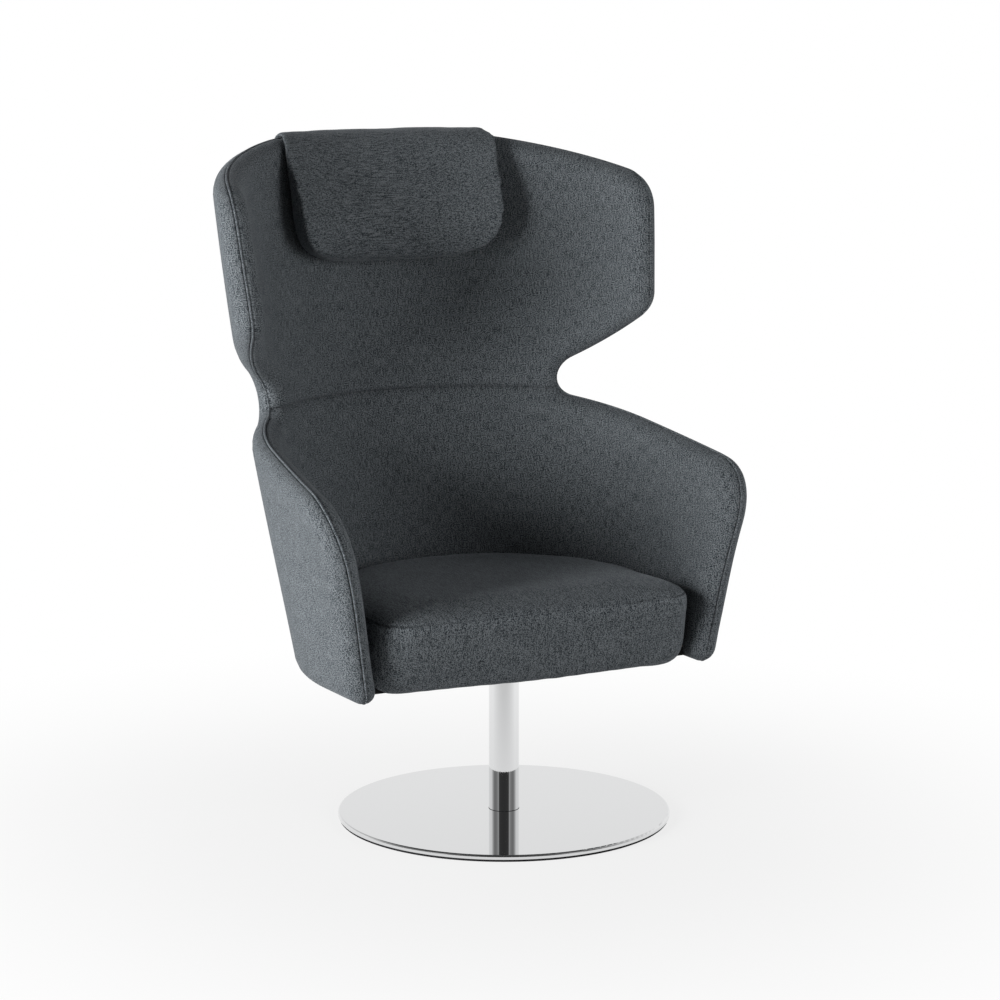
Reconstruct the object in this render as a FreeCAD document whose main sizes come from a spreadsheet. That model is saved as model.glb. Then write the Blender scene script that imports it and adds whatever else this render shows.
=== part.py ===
# A wing chair that swivels on a fixed column and a polished disc, at real size in millimetres.
# The upholstered shell holds a loose seat cushion, and a head pillow hangs over its top edge on a
# flap with a counterweight behind. +Z is up, the sitter faces -Y, and the origin is on the floor
# under the swivel axis.
import FreeCAD, Part
import math
import os
import Sketcher
from FreeCAD import Vector

SIZES = {
    # Disc base and its floor pad
    "pad_diameter": 546,
    "pad_thickness": 4,
    "disc_diameter": 550,
    "disc_thickness": 7,
    "disc_edge_radius": 3,
    # Column, with the plug and bolt that hold it to the disc
    "column_diameter": 50,
    "column_wall": 3,
    "plug_height": 14,
    "bolt_diameter": 10,
    "bolt_length": 20,
    "bolt_head_diameter": 20,
    "bolt_head_height": 5.5,
    # Swivel spindle in its two bushes
    "spindle_diameter": 30,
    "spindle_gap": 2,
    "running_clearance": 0.05,
    "end_clearance": 0.3,
    "bush_length": 30,
    "bush_flange": 2,
    "thrust_thickness": 2,
    "thrust_clearance": 0.1,
    "washer_clearance": 0.5,
    "collar_diameter": 44,
    "collar_height": 12,
    "clip_margin": 2,
    "clip_thickness": 1.5,
    "clip_width": 4,
    "clip_groove_depth": 1.2,
    "clip_opening": 40,
    # Swivel plate and its four bolts
    "plate_side": 160,
    "plate_thickness": 8,
    "plate_corner": 12,
    "plate_bolt_spacing": 120,
    "plate_bolt_diameter": 8,
    "plate_hole_clearance": 0.5,
    "plate_bolt_reach": 18,
    "bolt_cap_diameter": 14,
    "bolt_cap_height": 4.5,
    "flat_washer_diameter": 18,
    "flat_washer_thickness": 1.6,
    "nut_wall": 1.5,
    "nut_length": 11,
    "nut_flange_diameter": 24,
    "nut_flange_thickness": 1.5,
    # Seat pan and the cloth under it
    "pan_level": 256,
    "pan_thickness": 15,
    "pan_front": 85,
    "dust_cloth": 1.2,
    "dust_cloth_margin": 3,
    "shell_screw_diameter": 4.5,
    "shell_screw_length": 38,
    "shell_screw_head": 9,
    "shell_screw_head_height": 3,
    "shell_screw_sink": 6,
    # Shell stations, low to high: height, back radius, arc centre and splay of the sides
    "foot_level": 240,
    "foot_radius": 310,
    "foot_centre": 5,
    "foot_splay": 1,
    "arm_level": 450,
    "arm_radius": 346,
    "arm_centre": 15,
    "arm_splay": 1,
    "waist_level": 665,
    "waist_radius": 360,
    "waist_centre": 81,
    "waist_splay": 12,
    "wing_level": 880,
    "wing_radius": 383,
    "wing_centre": 102,
    "wing_splay": 12.3,
    "top_level": 1130,
    "top_radius": 401,
    "top_centre": 127,
    "top_splay": 14.5,
    "shell_reach": 260,
    # Shell wall, counted from its middle surface
    "wall_thickness": 50,
    "core_thickness": 8,
    "rim_depth": 14,
    "piping_proud": 2.5,
    "seam_width": 7,
    "seam_depth": 6,
    # Rim outline seen from the side: depth behind the axis, height and corner radius
    "shell_bottom": 250,
    "arm_tip_radius": 20,
    "arm_front_lean": 5.7,
    "arm_front_depth": -159.5,
    "arm_front_height": 570,
    "arm_front_radius": 102,
    "notch_depth": 377,
    "notch_height": 663,
    "notch_radius": 37,
    "wing_low_depth": 152,
    "wing_low_height": 808.5,
    "wing_low_radius": 41.5,
    "wing_high_depth": 188,
    "wing_high_height": 1030,
    "wing_high_radius": 80,
    "crest_depth": 478,
    "crest_height": 1099,
    "crest_radius": 150,
    # Seat cushion
    "cushion_half_width": 284,
    "cushion_gap": 4,
    "cushion_lift": 1,
    "cushion_front": 152,
    "cushion_front_lean": 16,
    "cushion_corner": 58,
    "cushion_bow": 7,
    "cushion_seam_height": 116,
    "cushion_crown": 22,
    "cushion_bottom_roll": 14,
    # Head pillow, its flap over the shell's top edge and the counterweight behind
    "flap_thickness": 6,
    "flap_crest_thickness": 9,
    "flap_half_width": 188,
    "flap_clearance": 0.3,
    "flap_end": 1000,
    "slide_clearance": 3,
    "pillow_bottom": 888,
    "pillow_height": 218,
    "pillow_half_width": 195,
    "pillow_depth": 80,
    "pillow_end_flat": 8,
    "pouch_bottom": 915,
    "pouch_height": 95,
    "pouch_half_width": 185,
    "pouch_clearance": 3,
    "pouch_thickness": 18,
    "bar_half_width": 165,
    "bar_height": 55,
    "bar_thickness": 8,
}
STATIONS = ("foot", "arm", "waist", "wing", "top")
SHELL_SCREW_COUNT = 7
SHELL_SCREW_MARGIN = 12
# Seat cushion from its bottom up, in shares: height and insets by the roll under it or the crown on it
ROLL_SHAPE = ((0, 0.85), (1, 0.2))
CROWN_SHAPE = ((0, 0.15, 0), (0.55, 1, 1), (0.86, 2.7, 2.5), (1, 5.4, 5))
# Head pillow from its bottom up, in shares of its height, half width and depth
PILLOW_SHAPE = (
    (0, 0.5, 0.5), (0.045, 0.75, 0.73), (0.155, 0.9, 0.93), (0.445, 0.97, 1), (0.72, 0.99, 0.66), (0.9, 0.99, 0.36), (1, 0.97, 0.18))
PILLOW_END_DEPTH = 0.9
# Where sketches start before their constraints move them
GUESS_MIDDLE = 60
GUESS_RADIUS = 30

doc = FreeCAD.newDocument("swivel_wing_chair")
sheet = doc.addObject("Spreadsheet::Sheet", "Sizes")
for row, (alias, value) in enumerate(SIZES.items(), start=1):
    sheet.set(f"A{row}", alias)
    sheet.set(f"B{row}", str(value))
    sheet.setAlias(f"B{row}", alias)
doc.recompute()
pieces = []


def size(alias):
    """A driving dimension, read back from the sheet."""
    return float(sheet.get(alias))


def origin_plane(body, role):
    """One of a body's own three base planes."""
    return next(plane for plane in body.Origin.OriginFeatures if plane.Role == role)


def bind(sketch, kind, geometry, point, formula):
    """Holds one coordinate of a sketch point at a formula on the sheet, or on an axis where it is zero."""
    if formula == "0":
        axis = -2 if kind == "DistanceX" else -1
        sketch.addConstraint(Sketcher.Constraint("PointOnObject", geometry, point, axis))
        return
    start = sketch.getPoint(geometry, point)
    value = start.x if kind == "DistanceX" else start.y
    number = sketch.addConstraint(Sketcher.Constraint(kind, -1, 1, geometry, point, value))
    sketch.setExpression(f"Constraints[{number}]", formula)


def draw_outline(sketch, outline):
    """Draws a closed polygon whose corners are pairs of formulas on the sheet."""
    count = len(outline)
    guesses = []
    for index in range(count):
        angle = 2 * math.pi * index / count
        across = GUESS_MIDDLE - GUESS_RADIUS * math.cos(angle)
        guesses.append(Vector(across, GUESS_MIDDLE - GUESS_RADIUS * math.sin(angle), 0))
    for index in range(count):
        sketch.addGeometry(Part.LineSegment(guesses[index], guesses[(index + 1) % count]))
    for index in range(count):
        sketch.addConstraint(Sketcher.Constraint("Coincident", index, 2, (index + 1) % count, 1))
    for index, (across, up) in enumerate(outline):
        bind(sketch, "DistanceX", index, 1, across)
        bind(sketch, "DistanceY", index, 1, up)


def turned(label, outline, angle="360"):
    """A body turned about the swivel axis from corners given as radius and height."""
    body = doc.addObject("PartDesign::Body", label)
    body.Label = label
    sketch = body.newObject("Sketcher::SketchObject", label + "_profile")
    sketch.AttachmentSupport = [(origin_plane(body, "XZ_Plane"), "")]
    sketch.MapMode = "FlatFace"
    draw_outline(sketch, outline)
    doc.recompute()
    revolution = body.newObject("PartDesign::Revolution", label + "_turn")
    revolution.Profile = sketch
    revolution.ReferenceAxis = (sketch, ["V_Axis"])
    revolution.setExpression("Angle", angle)
    doc.recompute()
    pieces.append(body)
    return body


def ring(label, inner, outer, low, high):
    """A plain turned ring between two radii and two heights."""
    return turned(label, [(inner, low), (outer, low), (outer, high), (inner, high)])


def feature(label, shape):
    """A document object that holds a shape worked out below."""
    piece = doc.addObject("Part::Feature", label)
    piece.Label = label
    piece.Shape = shape
    piece.Placement = FreeCAD.Placement()
    pieces.append(piece)
    return piece


# Heights that follow from the pan downwards and from the floor upwards
PAD_TOP = "Sizes.pad_thickness"
DISC_TOP = "(Sizes.pad_thickness + Sizes.disc_thickness)"
PLUG_TOP = f"({DISC_TOP} + Sizes.plug_height)"
PLATE_LOW = "(Sizes.pan_level - Sizes.plate_thickness)"
COLLAR_LOW = f"({PLATE_LOW} - Sizes.collar_height)"
THRUST_TOP = f"({COLLAR_LOW} - Sizes.thrust_clearance)"
THRUST_LOW = f"({THRUST_TOP} - Sizes.thrust_thickness)"
COLUMN_TOP = f"({THRUST_LOW} - Sizes.bush_flange)"
SPINDLE_LOW = f"({PLUG_TOP} + Sizes.spindle_gap)"
CLIP_LOW = f"({SPINDLE_LOW} + Sizes.clip_margin)"
CLIP_TOP = f"({CLIP_LOW} + Sizes.clip_thickness)"
LOWER_BUSH_LOW = f"({CLIP_TOP} + Sizes.end_clearance)"
LOWER_BUSH_TOP = f"({LOWER_BUSH_LOW} + Sizes.bush_length)"
UPPER_BUSH_LOW = f"({COLUMN_TOP} - Sizes.bush_length)"

COLUMN_OUTER = "(Sizes.column_diameter / 2)"
COLUMN_INNER = "(Sizes.column_diameter / 2 - Sizes.column_wall)"
SPINDLE_RADIUS = "(Sizes.spindle_diameter / 2)"
BUSH_INNER = f"({SPINDLE_RADIUS} + Sizes.running_clearance)"
GROOVE_RADIUS = f"({SPINDLE_RADIUS} - Sizes.clip_groove_depth)"
BOLT_RADIUS = "(Sizes.bolt_diameter / 2)"
BOLT_HEAD_RADIUS = "(Sizes.bolt_head_diameter / 2)"
BOLT_HEAD_TOP = f"({PAD_TOP} + Sizes.bolt_head_height)"
BOLT_TOP = f"({PAD_TOP} + Sizes.bolt_length)"

# Felt pad under the disc, the face that stands on the floor
turned("floor_pad", [("0", "0"), ("Sizes.pad_diameter / 2", "0"), ("Sizes.pad_diameter / 2", PAD_TOP), ("0", PAD_TOP)])

# Polished steel disc with a countersunk hole underneath and a rounded upper edge
disc = turned("base_disc", [
    (BOLT_HEAD_RADIUS, PAD_TOP), ("Sizes.disc_diameter / 2", PAD_TOP), ("Sizes.disc_diameter / 2", DISC_TOP),
    (BOLT_RADIUS, DISC_TOP), (BOLT_RADIUS, BOLT_HEAD_TOP)])
disc_rim = max(enumerate(disc.Shape.Edges, start=1), key=lambda item: item[1].Length + item[1].BoundBox.ZMax)
disc_turn = disc.Tip
disc_round = disc.newObject("PartDesign::Fillet", "base_disc_edge")
disc_round.Base = (disc_turn, [f"Edge{disc_rim[0]}"])
disc_round.setExpression("Radius", "Sizes.disc_edge_radius")
doc.recompute()

# Chromed column tube, its threaded plug and the countersunk bolt through the disc
ring("column_tube", COLUMN_INNER, COLUMN_OUTER, DISC_TOP, COLUMN_TOP)
turned("column_plug", [
    (BOLT_RADIUS, DISC_TOP), (COLUMN_INNER, DISC_TOP), (COLUMN_INNER, PLUG_TOP), (BOLT_RADIUS, PLUG_TOP)])
turned("base_bolt", [
    ("0", PAD_TOP), (BOLT_HEAD_RADIUS, PAD_TOP), (BOLT_RADIUS, BOLT_HEAD_TOP), (BOLT_RADIUS, BOLT_TOP), ("0", BOLT_TOP)])

# Two nylon bushes and the thrust washer that carries the seat
ring("lower_bush", BUSH_INNER, COLUMN_INNER, LOWER_BUSH_LOW, LOWER_BUSH_TOP)
turned("upper_bush", [
    (BUSH_INNER, UPPER_BUSH_LOW), (COLUMN_INNER, UPPER_BUSH_LOW), (COLUMN_INNER, COLUMN_TOP),
    (COLUMN_OUTER, COLUMN_TOP), (COLUMN_OUTER, THRUST_LOW), (BUSH_INNER, THRUST_LOW)])
ring("thrust_washer", f"({SPINDLE_RADIUS} + Sizes.washer_clearance)", "(Sizes.collar_diameter / 2)", THRUST_LOW, THRUST_TOP)

# Steel spindle with its collar and clip groove, and the open ring that keeps it in the column
turned("swivel_spindle", [
    ("0", SPINDLE_LOW), (SPINDLE_RADIUS, SPINDLE_LOW), (SPINDLE_RADIUS, CLIP_LOW), (GROOVE_RADIUS, CLIP_LOW),
    (GROOVE_RADIUS, CLIP_TOP), (SPINDLE_RADIUS, CLIP_TOP), (SPINDLE_RADIUS, COLLAR_LOW),
    ("(Sizes.collar_diameter / 2)", COLLAR_LOW), ("(Sizes.collar_diameter / 2)", PLATE_LOW),
    (SPINDLE_RADIUS, PLATE_LOW), (SPINDLE_RADIUS, "Sizes.pan_level"), ("0", "Sizes.pan_level")])
CLIP_OUTER = f"({GROOVE_RADIUS} + Sizes.clip_width)"
turned("spindle_clip", [
    (GROOVE_RADIUS, CLIP_LOW), (CLIP_OUTER, CLIP_LOW), (CLIP_OUTER, CLIP_TOP), (GROOVE_RADIUS, CLIP_TOP)],
    "360 - Sizes.clip_opening")

# Square swivel plate welded round the spindle's top, with rounded corners and four bolt holes
plate = doc.addObject("PartDesign::Body", "swivel_plate")
plate.Label = "swivel_plate"
plate_sketch = plate.newObject("Sketcher::SketchObject", "swivel_plate_outline")
plate_sketch.AttachmentSupport = [(origin_plane(plate, "XY_Plane"), "")]
plate_sketch.MapMode = "FlatFace"
plate_sketch.setExpression("AttachmentOffset.Base.z", PLATE_LOW)
EDGE = "Sizes.plate_side / 2"
draw_outline(plate_sketch, [(f"-{EDGE}", f"-{EDGE}"), (EDGE, f"-{EDGE}"), (EDGE, EDGE), (f"-{EDGE}", EDGE)])
doc.recompute()
plate_pad = plate.newObject("PartDesign::Pad", "swivel_plate_pad")
plate_pad.Profile = plate_sketch
plate_pad.setExpression("Length", "Sizes.plate_thickness")
doc.recompute()
corners = [f"Edge{n}" for n, edge in enumerate(plate_pad.Shape.Edges, start=1) if edge.BoundBox.ZLength > 1]
plate_round = plate.newObject("PartDesign::Fillet", "swivel_plate_corners")
plate_round.Base = (plate_pad, corners)
plate_round.setExpression("Radius", "Sizes.plate_corner")
doc.recompute()


def drill_plate(name, across, radius):
    """A hole straight through the swivel plate, at equal distances from its two middle lines."""
    sketch = plate.newObject("Sketcher::SketchObject", name + "_sketch")
    sketch.AttachmentSupport = [(origin_plane(plate, "XY_Plane"), "")]
    sketch.MapMode = "FlatFace"
    sketch.addGeometry(Part.Circle(Vector(GUESS_MIDDLE, GUESS_MIDDLE, 0), Vector(0, 0, 1), GUESS_RADIUS))
    bind(sketch, "DistanceX", 0, 3, across)
    bind(sketch, "DistanceY", 0, 3, across)
    number = sketch.addConstraint(Sketcher.Constraint("Radius", 0, GUESS_RADIUS))
    sketch.setExpression(f"Constraints[{number}]", radius)
    doc.recompute()
    before = plate.Shape.Volume
    pocket = plate.newObject("PartDesign::Pocket", name)
    pocket.Profile = sketch
    pocket.Type = "ThroughAll"
    pocket.Midplane = True
    doc.recompute()
    if not plate.Shape.Volume < before:
        raise RuntimeError(name + " cut nothing")
    return pocket


drill_plate("spindle_bore", "0", SPINDLE_RADIUS)
bolt_hole = drill_plate(
    "bolt_hole", "Sizes.plate_bolt_spacing / 2", "Sizes.plate_bolt_diameter / 2 + Sizes.plate_hole_clearance")
hole_pattern = plate.newObject("PartDesign::PolarPattern", "bolt_hole_pattern")
hole_pattern.Originals = [bolt_hole]
hole_pattern.Axis = (plate_sketch, ["N_Axis"])
hole_pattern.Angle = 360
hole_pattern.Occurrences = 4
plate.Tip = hole_pattern
doc.recompute()
pieces.append(plate)


def spun(outline):
    """A solid of revolution about Z from corners given as radius and height."""
    wire = Part.makePolygon([Vector(radius, 0, height) for radius, height in outline + outline[:1]])
    return Part.Face(wire).revolve(Vector(0, 0, 0), Vector(0, 0, 1), 360)


def at_plate_corners(shape):
    """Four copies of a fastener, one at each bolt hole of the swivel plate."""
    half = size("plate_bolt_spacing") / 2
    copies = []
    for across in (-half, half):
        for along in (-half, half):
            copies.append(shape.translated(Vector(across, along, 0)))
    return Part.Compound(copies)


# Bolts, washers and flanged nuts that hold the plate to the seat pan
pan_low = size("pan_level")
pan_top = pan_low + size("pan_thickness")
plate_low = pan_low - size("plate_thickness")
washer_low = plate_low - size("flat_washer_thickness")
bolt_radius = size("plate_bolt_diameter") / 2
cap_radius = size("bolt_cap_diameter") / 2
cap_low = washer_low - size("bolt_cap_height")
bolt_top = plate_low + size("plate_bolt_reach")
feature("plate_bolts", at_plate_corners(spun([
    (0, cap_low), (cap_radius, cap_low), (cap_radius, washer_low), (bolt_radius, washer_low), (bolt_radius, bolt_top),
    (0, bolt_top)])))
washer_outer = size("flat_washer_diameter") / 2
feature("plate_washers", at_plate_corners(spun([
    (bolt_radius, washer_low), (washer_outer, washer_low), (washer_outer, plate_low), (bolt_radius, plate_low)])))
nut_outer = bolt_radius + size("nut_wall")
nut_low = pan_top - size("nut_length")
flange_outer = size("nut_flange_diameter") / 2
flange_low = pan_top - size("nut_flange_thickness")
feature("pan_nuts", at_plate_corners(spun([
    (bolt_radius, nut_low), (nut_outer, nut_low), (nut_outer, flange_low), (flange_outer, flange_low),
    (flange_outer, pan_top), (bolt_radius, pan_top)])))
nut_space = at_plate_corners(spun([
    (0, pan_low), (nut_outer, pan_low), (nut_outer, flange_low), (flange_outer, flange_low), (flange_outer, pan_top),
    (0, pan_top)]))


def mirrored(point):
    """The same point on the other side of the chair."""
    return Vector(-point.x, point.y, point.z)


def plan_wire(station, offset):
    """The shell's plan at one station: two splayed sides on a back arc, closed across the front.

    The offset counts inwards from the middle of the wall.
    """
    level = size(station + "_level")
    radius = size(station + "_radius") - offset
    centre = size(station + "_centre")
    splay = math.radians(size(station + "_splay"))
    front = -size("shell_reach")
    half_turn = (splay + math.pi / 2) / 2
    corner = Vector((radius - (front - centre) * math.sin(splay)) / math.cos(splay), front, level)
    touch = Vector(radius * math.cos(splay), centre + radius * math.sin(splay), level)
    middle = Vector(radius * math.cos(half_turn), centre + radius * math.sin(half_turn), level)
    rear = Vector(0, centre + radius, level)
    edges = [
        Part.LineSegment(corner, touch),
        Part.Arc(touch, middle, rear),
        Part.Arc(rear, mirrored(middle), mirrored(touch)),
        Part.LineSegment(mirrored(touch), mirrored(corner)),
        Part.LineSegment(mirrored(corner), corner)]
    return Part.Wire([edge.toShape() for edge in edges])


forms = {}


def shell_form(offset):
    """The solid inside one layer of the shell, lofted through the five stations."""
    if offset not in forms:
        forms[offset] = Part.makeLoft([plan_wire(station, offset) for station in STATIONS], True, False)
    return forms[offset]


def rounded_wire(corners):
    """A closed wire in the YZ plane through (depth, height, radius) corners."""
    edges = []
    ends = []
    for index, (depth, height, radius) in enumerate(corners):
        before = corners[index - 1]
        after = corners[(index + 1) % len(corners)]
        corner = Vector(0, depth, height)
        back = (Vector(0, before[0], before[1]) - corner).normalize()
        ahead = (Vector(0, after[0], after[1]) - corner).normalize()
        half = back.getAngle(ahead) / 2
        start = corner + back * (radius / math.tan(half))
        end = corner + ahead * (radius / math.tan(half))
        ends.append((start, end))
        if radius:
            nearest = corner + (back + ahead).normalize() * (radius / math.sin(half) - radius)
            edges.append(Part.Arc(start, nearest, end).toShape())
    for index, (start, end) in enumerate(ends):
        edges.append(Part.LineSegment(end, ends[(index + 1) % len(ends)][0]).toShape())
    return Part.Wire(Part.__sortEdges__(edges))


def rim_corner(name):
    """One corner of the rim outline, from the sheet."""
    return size(name + "_depth"), size(name + "_height"), size(name + "_radius")


def rim_prism(grow, bottom):
    """The rim outline seen from the side, grown by an amount and run across the whole width."""
    rear = size("top_centre") + size("top_radius") + size("wall_thickness") + size("shell_reach")
    front_depth, front_height, front_radius = rim_corner("arm_front")
    lean = math.tan(math.radians(size("arm_front_lean")))
    tip_depth = front_depth + (front_height - bottom) * lean
    crest = rim_corner("crest")
    face = Part.Face(rounded_wire([
        (tip_depth, bottom, size("arm_tip_radius")), rim_corner("arm_front"), rim_corner("notch"), rim_corner("wing_low"),
        rim_corner("wing_high"), crest, (rear, crest[1], 0), (rear, bottom, 0)]))
    if grow:
        face = face.makeOffset2D(grow)
    return face.translated(Vector(-rear, 0, 0)).extrude(Vector(2 * rear, 0, 0))


def block(low, high):
    """A box between two corners."""
    low = Vector(*low)
    high = Vector(*high)
    return Part.makeBox(high.x - low.x, high.y - low.y, high.z - low.z, low)


def single(shape):
    """The one solid that a boolean left behind."""
    if len(shape.Solids) != 1:
        raise RuntimeError(f"expected one solid, found {len(shape.Solids)}")
    return shape.Solids[0]


half_wall = size("wall_thickness") / 2
half_core = size("core_thickness") / 2
shell_bottom = size("shell_bottom")
waist = size("waist_level")
far = size("top_level")
rim = rim_prism(0, shell_bottom)
core_rim = rim_prism(-size("rim_depth"), shell_bottom - size("rim_depth"))
pan_zone = block((-far, -size("pan_front"), 0), (far, far, pan_top))


def between(low, high, name):
    """A station value at a height, on the straight line between the foot and arm or wing and top stations."""
    span = size(high + "_level") - size(low + "_level")
    start = size(low + name)
    return lambda height: start + (size(high + name) - start) * (height - size(low + "_level")) / span


low_radius = between("foot", "arm", "_radius")
low_centre = between("foot", "arm", "_centre")
high_radius = between("wing", "top", "_radius")
high_centre = between("wing", "top", "_centre")

# Countersunk screws through the core into the edge of the pan, fanned round the back
screw_level = (pan_low + pan_top) / 2
screw_reach = low_radius(screw_level) + half_core - size("shell_screw_sink")
screw_radius = size("shell_screw_diameter") / 2
screw_head = size("shell_screw_head") / 2
head_height = size("shell_screw_head_height")
screw = spun([
    (0, -size("shell_screw_length")), (screw_radius, -size("shell_screw_length")), (screw_radius, -head_height),
    (screw_head, 0), (0, 0)])
screw_way = screw.fuse(Part.makeCylinder(screw_head, size("wall_thickness")))
screws = []
screw_ways = []
for index in range(SHELL_SCREW_COUNT):
    turn = SHELL_SCREW_MARGIN + (180 - 2 * SHELL_SCREW_MARGIN) * index / (SHELL_SCREW_COUNT - 1)
    outward = Vector(math.cos(math.radians(turn)), math.sin(math.radians(turn)), 0)
    place = Vector(0, low_centre(screw_level), screw_level) + outward * screw_reach
    pose = FreeCAD.Placement(place, FreeCAD.Rotation(Vector(0, 0, 1), outward))
    screws.append(screw.transformed(pose.toMatrix()))
    screw_ways.append(screw_way.transformed(pose.toMatrix()))
feature("shell_screws", Part.Compound(screws))

# Plywood seat pan inside the core, and the cloth stapled under it
pan_slab = block((-far, -size("pan_front"), pan_low), (far, far, pan_top))
pan = shell_form(half_core).common(pan_slab).cut(nut_space).cut(Part.Compound(screws))
feature("seat_pan", single(pan))
cloth_slab = block((-far, -size("pan_front"), pan_low - size("dust_cloth")), (far, far, pan_low))
cloth_hole = size("plate_side") / 2 + size("dust_cloth_margin")
cloth = shell_form(half_core).common(cloth_slab)
cloth = cloth.cut(block((-cloth_hole, -cloth_hole, 0), (cloth_hole, cloth_hole, pan_top)))
feature("dust_cover", single(cloth))

# Moulded core of the shell, stopped short of the rim where the padding rolls over it
core = shell_form(-half_core).cut(shell_form(half_core)).common(core_rim).cut(Part.Compound(screw_ways))
feature("shell_core", single(core))

# Padded outer cover, and the piping that fills the rim between the two covers
outer = shell_form(-half_wall).cut(shell_form(-half_core)).common(rim)
feature("outer_upholstery", single(outer))
piping = shell_form(-half_core).cut(shell_form(half_core)).common(rim_prism(size("piping_proud"), shell_bottom))
piping = piping.cut(core_rim).common(block((-far, -far, shell_bottom), (far, far, 2 * far)))
feature("rim_piping", single(piping))

# Padded inner covers, sewn together in a sunk seam across the waist
inner = shell_form(half_core).cut(shell_form(half_wall)).common(rim).cut(pan_zone)
half_seam = size("seam_width") / 2
seam = shell_form(half_wall - size("seam_depth")).common(
    block((-far, -far, waist - half_seam), (far, far, waist + half_seam)))
inner = inner.cut(seam)
feature("inner_back_panel", single(inner.common(block((-far, -far, waist), (far, far, 2 * far)))))
feature("inner_arm_panel", single(inner.common(block((-far, -far, 0), (far, far, waist)))))


def cushion_wire(level, inset, front):
    """Plan of the seat cushion at one height: bowed front, round corners and a back that follows the shell."""
    width = size("cushion_half_width") - inset
    rear = low_centre(level) + low_radius(level) - half_wall - size("cushion_gap") - inset
    centre = rear - width
    corner = size("cushion_corner")
    bend = corner * (1 - math.sqrt(0.5))
    half = width * math.sqrt(0.5)
    points = {
        "front": Vector(0, front - size("cushion_bow"), level),
        "front_end": Vector(width - corner, front, level),
        "corner": Vector(width - bend, front + bend, level),
        "side": Vector(width, front + corner, level),
        "side_end": Vector(width, centre, level),
        "back": Vector(half, centre + half, level),
        "rear": Vector(0, rear, level)}
    left = {name: mirrored(point) for name, point in points.items()}
    edges = [
        Part.Arc(left["front_end"], points["front"], points["front_end"]),
        Part.Arc(points["front_end"], points["corner"], points["side"]),
        Part.LineSegment(points["side"], points["side_end"]),
        Part.Arc(points["side_end"], points["back"], points["rear"]),
        Part.Arc(points["rear"], left["back"], left["side_end"]),
        Part.LineSegment(left["side_end"], left["side"]),
        Part.Arc(left["side"], left["corner"], left["front_end"])]
    return Part.Wire([edge.toShape() for edge in edges])


# Seat cushion: rolled under at the bottom, leaning front, a top seam and a crowned top
cushion_low = pan_low + size("cushion_lift")
seam_level = pan_low + size("cushion_seam_height")
crown = size("cushion_crown")
roll = size("cushion_bottom_roll")
lean = math.tan(math.radians(size("cushion_front_lean")))
cushion_levels = [(cushion_low + rise * roll, inset * roll, inset * roll) for rise, inset in ROLL_SHAPE]
cushion_levels.append(((cushion_low + seam_level) / 2, 0, 0))
for rise, inset, setback in CROWN_SHAPE:
    cushion_levels.append((seam_level + rise * crown, inset * crown, setback * crown))
sections = []
for level, inset, setback in cushion_levels:
    front = -size("cushion_front") + max(seam_level - level, 0) * lean + setback
    sections.append(cushion_wire(level, inset, front))
cushion = Part.makeLoft(sections, True, False).common(shell_form(half_wall + size("cushion_lift"))).cut(pan_zone)
feature("seat_cushion", single(cushion))

# Flap of the head pillow: a band that lies on both faces of the shell and goes over its top edge
flap_clear = size("flap_clearance")
flap_out = half_wall + size("flap_thickness")
flap_half = size("flap_half_width")
flap_zone = block((-flap_half, 0, size("flap_end")), (flap_half, 2 * far, 2 * far))
band = shell_form(-flap_out).cut(shell_form(flap_out)).common(rim_prism(size("flap_crest_thickness"), shell_bottom))
hollow = shell_form(-half_wall - flap_clear).cut(shell_form(half_wall + flap_clear))
hollow = hollow.common(rim_prism(size("piping_proud") + flap_clear, shell_bottom))
feature("headrest_flap", single(band.common(flap_zone).cut(hollow)))


def pillow_wire(level, width, depth):
    """Plan of the pillow at one height: back on the shell's curve, shallower front, rounded ends."""
    radius = high_radius(level) - flap_out
    centre = high_centre(level)
    back_end = Vector(width - size("pillow_end_flat"), 0, level)
    back_end.y = centre + math.sqrt(radius ** 2 - back_end.x ** 2)
    back = Vector(0, centre + radius, level)
    front_end = Vector(back_end.x, back_end.y - PILLOW_END_DEPTH * depth, level)
    front = Vector(0, centre + radius - depth, level)
    end = Vector(width, (back_end.y + front_end.y) / 2, level)
    edges = [
        Part.Arc(mirrored(back_end), back, back_end),
        Part.Arc(back_end, end, front_end),
        Part.Arc(front_end, front, mirrored(front_end)),
        Part.Arc(mirrored(front_end), mirrored(end), mirrored(back_end))]
    return Part.Wire([edge.toShape() for edge in edges])


# Head pillow: narrow rolled bottom, full belly and a top that thins towards the flap
pillow_low = size("pillow_bottom")
pillow_height = size("pillow_height")
pillow_width = size("pillow_half_width")
pillow_depth = size("pillow_depth")
sections = []
for rise, wide, deep in PILLOW_SHAPE:
    sections.append(pillow_wire(pillow_low + rise * pillow_height, wide * pillow_width, deep * pillow_depth))
pillow = Part.makeLoft(sections, True, False).common(shell_form(flap_out + size("slide_clearance")))
feature("headrest_cushion", single(pillow))

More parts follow.
